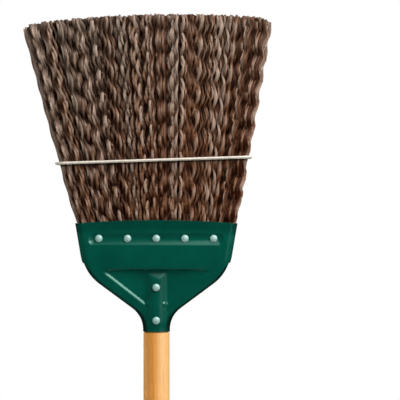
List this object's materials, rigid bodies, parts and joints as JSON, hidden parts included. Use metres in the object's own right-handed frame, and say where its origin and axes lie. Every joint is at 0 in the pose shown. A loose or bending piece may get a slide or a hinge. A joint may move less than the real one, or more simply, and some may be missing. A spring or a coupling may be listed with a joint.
{
  "type": "floor broom",
  "caption": "Long-handled floor broom: a flared fan of crimped brown fibre in a riveted green steel cap, a wire band, a wooden handle and a steel chisel on the handle's far end.",
  "frame": {"origin": "on the handle's axis, halfway along its bare length between the cap's mouth and the socket's rim", "axes": "+Z along the handle towards the bristle tips, -Y out of the front face of the cap, +X to the right seen from the front"},
  "size_m": [0.2736, 0.058, 1.4473],
  "materials": {
    "handle_wood": "clear lacquer",
    "cap_enamel": "gloss dark green",
    "rivet_steel": "zinc plated",
    "fibre": "crimped brown fibre",
    "galvanised_wire": "galvanised",
    "chisel_steel": "ground and polished"
  },
  "bodies": {
    "root": {"handle": "handle_wood", "cap_front": "cap_enamel", "cap_back": "cap_enamel", "fill_rivet_1": "rivet_steel", "fill_rivet_2": "rivet_steel", "fill_rivet_3": "rivet_steel", "fill_rivet_4": "rivet_steel", "fill_rivet_5": "rivet_steel", "handle_rivet_1": "rivet_steel", "handle_rivet_2": "rivet_steel", "bristle_bundle_1": "fibre", "bristle_bundle_2": "fibre", "bristle_bundle_3": "fibre", "bristle_bundle_4": "fibre", "wire_band": "galvanised_wire", "chisel_socket": "chisel_steel", "chisel_blade": "chisel_steel", "socket_nail": "rivet_steel"}
  },
  "joints": []
}
